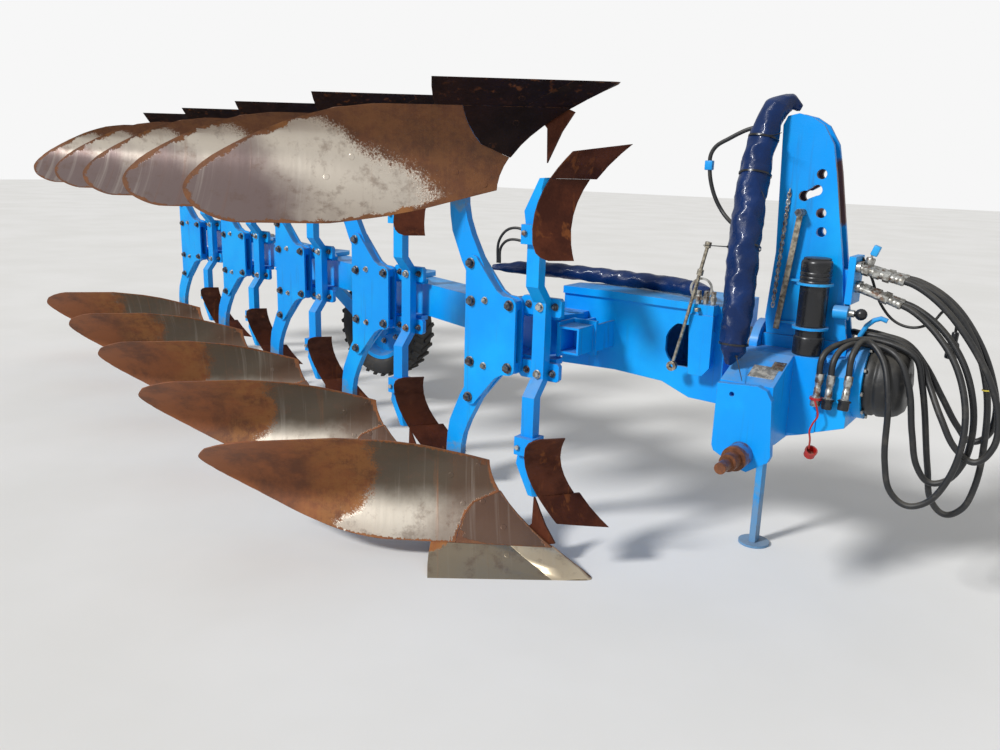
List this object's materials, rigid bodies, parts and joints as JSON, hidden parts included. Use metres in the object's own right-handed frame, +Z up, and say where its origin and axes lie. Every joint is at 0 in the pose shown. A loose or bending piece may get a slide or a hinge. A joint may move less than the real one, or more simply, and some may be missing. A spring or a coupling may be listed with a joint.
{
  "type": "reversible moldboard plough",
  "caption": "Mounted reversible moldboard plough with twisted steel moldboards, skimmers, a depth wheel, a turnover headstock with link axle and top link tower, and a parking stand.",
  "frame": {"origin": "centre of the footprint of the whole plough on the ground", "axes": "+X forwards to the tractor, along the direction of travel; +Y to the left; +Z up"},
  "size_m": [6.0709, 2.4185, 1.7],
  "materials": {
    "paint_blue": "satin",
    "paint_light_blue": "satin",
    "moldboard_steel": "worn",
    "rusty_steel": "matt",
    "dark_rust": "matt",
    "share_steel": "worn",
    "bright_steel": "satin",
    "black_rubber": "matt",
    "tyre_rubber": "matt",
    "black_plastic": "satin",
    "navy_vinyl": "gloss"
  },
  "bodies": {
    "headstock": {"side_plates": "paint_blue", "housing": "paint_blue", "link_axle": "rusty_steel", "tower_plates": "paint_blue", "tower_web": "rusty_steel", "nose_ring": "paint_blue", "nose_cap": "black_rubber", "document_tube": "black_plastic", "tube_rings": "paint_light_blue", "lock_lever": "bright_steel", "hose_rest": "paint_light_blue", "coupling_block": "paint_blue", "couplings": "bright_steel", "hose_1": "black_rubber", "hose_2": "black_rubber", "hose_3": "black_rubber", "hose_4": "black_rubber", "hose_5": "black_rubber", "hose_plugs": "bright_steel", "tower_sleeve": "navy_vinyl", "stand_guide": "paint_blue"},
    "frame": {"moldboards_lower": "moldboard_steel", "moldboards_upper": "rusty_steel", "shins_lower": "moldboard_steel", "shins_upper": "rusty_steel", "shares_lower": "share_steel", "shares_upper": "dark_rust", "points_lower": "share_steel", "points_upper": "dark_rust", "land_knives": "rusty_steel", "landsides": "rusty_steel", "frogs": "paint_blue", "board_stays": "paint_blue", "shanks": "paint_blue", "carriers_near": "paint_blue", "carriers_far": "paint_blue", "yokes": "paint_blue", "king_pins": "bright_steel", "skimmer_stalks": "paint_blue", "skimmer_holders": "paint_blue", "skimmer_boards": "rusty_steel", "skimmer_shares": "rusty_steel", "main_beam": "paint_blue", "beam_ends": "paint_blue", "frame_head": "paint_blue", "turn_hub": "bright_steel", "socket_bracket": "paint_blue", "valve_block": "paint_blue", "beam_sleeve": "navy_vinyl", "wheel_bracket": "paint_blue"},
    "stand": {"stand_leg": "paint_light_blue"},
    "wheel_swing": {"wheel_arm": "paint_blue"},
    "depth_wheel": {"wheel_rim": "paint_blue", "wheel_tyre": "tyre_rubber"}
  },
  "joints": [
    {"name": "turnover", "type": "hinge", "parent": "headstock", "child": "frame", "pos_m": [2.32969, -0.06343, 0.85], "axis": [1, 0, 0], "range_deg": [0, 180]},
    {"name": "wheel_swing_pivot", "type": "hinge", "parent": "frame", "child": "wheel_swing", "pos_m": [-0.76031, 0.72657, 0.85], "axis": [0, 1, 0], "range_deg": [-70.6, 0]},
    {"name": "wheel_spin", "type": "hinge", "parent": "wheel_swing", "child": "depth_wheel", "pos_m": [-0.21031, 0.85657, 0.46], "axis": [0, 1, 0], "continuous": true},
    {"name": "stand_slide", "type": "slide", "parent": "headstock", "child": "stand", "axis": [0, 0, 1], "range_m": [0, 0.3]}
  ]
}
